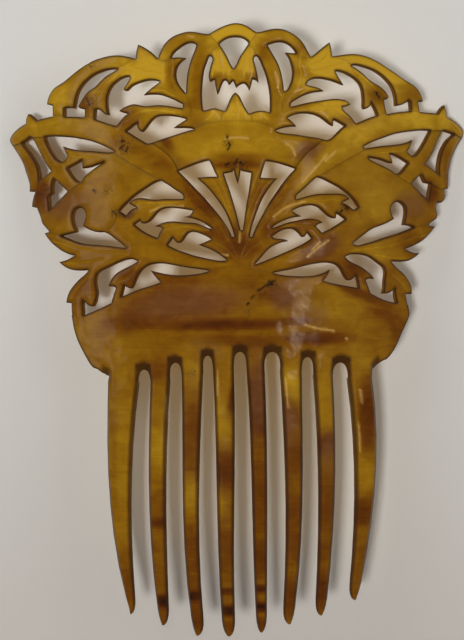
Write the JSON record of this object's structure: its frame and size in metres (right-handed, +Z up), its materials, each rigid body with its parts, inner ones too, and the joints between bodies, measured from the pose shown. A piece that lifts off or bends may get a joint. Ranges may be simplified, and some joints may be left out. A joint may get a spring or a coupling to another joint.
{
  "type": "hair comb",
  "caption": "Upright back comb for the hair: a bent, glossy amber sheet with a pierced crown of leaves and ribbons over a plain band and a row of long teeth",
  "frame": {"origin": "On the middle line at the top of the middle slot between the teeth, at mid thickness: where the hair meets the comb", "axes": "+Z up the comb from the teeth to the crown, -Y out of the convex front that is seen when it is worn, +X to the right of that front"},
  "size_m": [0.1449, 0.0279, 0.1844],
  "materials": {
    "crown_shell": "polished mottled honey and brown celluloid",
    "band_shell": "polished streaked honey and brown celluloid",
    "tooth_shell": "polished banded honey and brown celluloid"
  },
  "bodies": {
    "root": {"crown_arch": "crown_shell", "crown_centre_leaf": "crown_shell", "upper_arch": "crown_shell", "fan_hub": "crown_shell", "crown_hoop_left": "crown_shell", "crown_hoop_right": "crown_shell", "crown_hanging_leaf_left": "crown_shell", "crown_hanging_leaf_right": "crown_shell", "crown_base_leaf_left": "crown_shell", "crown_base_leaf_right": "crown_shell", "spray_top_leaf_left": "crown_shell", "spray_top_leaf_right": "crown_shell", "spray_middle_leaf_left": "crown_shell", "spray_middle_leaf_right": "crown_shell", "spray_low_leaf_left": "crown_shell", "spray_low_leaf_right": "crown_shell", "outer_claw_left": "crown_shell", "outer_claw_right": "crown_shell", "inner_claw_left": "crown_shell", "inner_claw_right": "crown_shell", "shoulder_strap_left": "crown_shell", "shoulder_strap_right": "crown_shell", "shoulder_leaf_left": "crown_shell", "shoulder_leaf_right": "crown_shell", "outer_side_bar_left": "crown_shell", "outer_side_bar_right": "crown_shell", "inner_side_bar_left": "crown_shell", "inner_side_bar_right": "crown_shell", "scroll_lobe_left": "crown_shell", "scroll_lobe_right": "crown_shell", "lower_branch_left": "crown_shell", "lower_branch_right": "crown_shell", "lower_outer_leaf_left": "crown_shell", "lower_outer_leaf_right": "crown_shell", "lower_inner_leaf_left": "crown_shell", "lower_inner_leaf_right": "crown_shell", "inner_upper_leaf_left": "crown_shell", "inner_upper_leaf_right": "crown_shell", "inner_lower_leaf_left": "crown_shell", "inner_lower_leaf_right": "crown_shell", "inner_stem_left": "crown_shell", "inner_stem_right": "crown_shell", "fan_leaf_left": "crown_shell", "fan_leaf_right": "crown_shell", "heading_band": "band_shell", "tooth_1": "tooth_shell", "tooth_2": "tooth_shell", "tooth_3": "tooth_shell", "tooth_4": "tooth_shell", "tooth_5": "tooth_shell", "tooth_6": "tooth_shell", "tooth_7": "tooth_shell", "tooth_8": "tooth_shell"}
  },
  "joints": []
}
